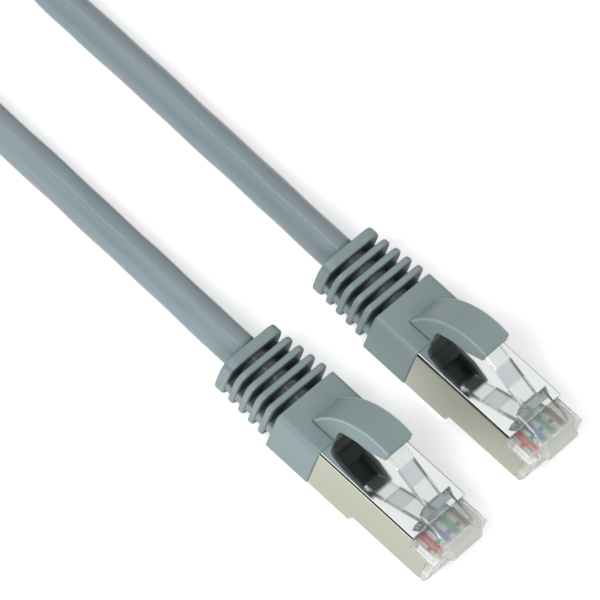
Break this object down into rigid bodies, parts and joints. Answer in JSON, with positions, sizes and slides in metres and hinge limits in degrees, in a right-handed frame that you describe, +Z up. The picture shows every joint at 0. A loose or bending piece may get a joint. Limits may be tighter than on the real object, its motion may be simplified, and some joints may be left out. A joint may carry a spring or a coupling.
{
  "type": "ethernet patch cable",
  "caption": "Network patch cable with shielded modular plugs, clear latched noses, grey hooded boots with ribbed strain reliefs, and a round cable wound in a coil.",
  "frame": {"origin": "middle of the footprint of the two plugs, on the surface that they lie on", "axes": "+X towards the plugs' noses, +Y from plug a to plug b, +Z up through the latches"},
  "size_m": [0.1882, 0.07, 0.0155],
  "materials": {
    "clear_housing": "clear polycarbonate, polished",
    "clear_latch": "clear polycarbonate, polished, with a matt flat on the arm",
    "clear_load_bar": "clear polycarbonate",
    "gold_contacts": "gold plating over copper alloy",
    "copper": "bare copper",
    "cable_jacket": "satin grey PVC",
    "foil": "aluminium foil on polyester film",
    "tinned_wire": "tinned copper",
    "nickel_shield": "nickel-plated sheet, polished",
    "grey_boot": "soft moulded PVC, satin",
    "white_orange_wire": "insulated conductor, polyethylene",
    "orange_wire": "insulated conductor, polyethylene",
    "white_green_wire": "insulated conductor, polyethylene",
    "blue_wire": "insulated conductor, polyethylene",
    "white_blue_wire": "insulated conductor, polyethylene",
    "green_wire": "insulated conductor, polyethylene",
    "white_brown_wire": "insulated conductor, polyethylene",
    "brown_wire": "insulated conductor, polyethylene"
  },
  "bodies": {
    "cable": {"blue_wire_a": "blue_wire", "blue_wire_b": "blue_wire", "boot_a": "grey_boot", "boot_b": "grey_boot", "brown_wire_a": "brown_wire", "brown_wire_b": "brown_wire", "contacts_a": "gold_contacts", "contacts_b": "gold_contacts", "cord_coil": "cable_jacket", "cord_stretch_a": "cable_jacket", "cord_stretch_b": "cable_jacket", "cores_a": "copper", "cores_b": "copper", "drain_wire_a": "tinned_wire", "drain_wire_b": "tinned_wire", "foil_wrap_a": "foil", "foil_wrap_b": "foil", "green_wire_a": "green_wire", "green_wire_b": "green_wire", "housing_a": "clear_housing", "housing_b": "clear_housing", "jacket_end_a": "cable_jacket", "jacket_end_b": "cable_jacket", "load_bar_a": "clear_load_bar", "load_bar_b": "clear_load_bar", "orange_wire_a": "orange_wire", "orange_wire_b": "orange_wire", "shield_a": "nickel_shield", "shield_b": "nickel_shield", "white_blue_wire_a": "white_blue_wire", "white_blue_wire_b": "white_blue_wire", "white_brown_wire_a": "white_brown_wire", "white_brown_wire_b": "white_brown_wire", "white_green_wire_a": "white_green_wire", "white_green_wire_b": "white_green_wire", "white_orange_wire_a": "white_orange_wire", "white_orange_wire_b": "white_orange_wire"},
    "hood_a": {"hood_a": "grey_boot"},
    "latch_a": {"latch_a": "clear_latch"},
    "hood_b": {"hood_b": "grey_boot"},
    "latch_b": {"latch_b": "clear_latch"}
  },
  "joints": [
    {"name": "hood_press_a", "type": "hinge", "parent": "cable", "child": "hood_a", "pos_m": [-0.0015, -0.0117, 0.01155], "axis": [0, 1, 0], "range_deg": [0, 18], "stiffness_Nm_per_rad": 0.04},
    {"name": "latch_press_a", "type": "hinge", "parent": "cable", "child": "latch_a", "pos_m": [0.02155, -0.0117, 0.0072], "axis": [0, -1, 0], "range_deg": [0, 9], "stiffness_Nm_per_rad": 0.05},
    {"name": "hood_press_b", "type": "hinge", "parent": "cable", "child": "hood_b", "pos_m": [-0.0035, 0.0117, 0.01155], "axis": [0, 1, 0], "range_deg": [0, 18], "stiffness_Nm_per_rad": 0.04},
    {"name": "latch_press_b", "type": "hinge", "parent": "cable", "child": "latch_b", "pos_m": [0.01955, 0.0117, 0.0072], "axis": [0, -1, 0], "range_deg": [0, 9], "stiffness_Nm_per_rad": 0.05}
  ],
  "couplings": [
    {"joint": "latch_press_a", "follows": "hood_press_a", "ratio": 0.5},
    {"joint": "latch_press_b", "follows": "hood_press_b", "ratio": 0.5}
  ]
}
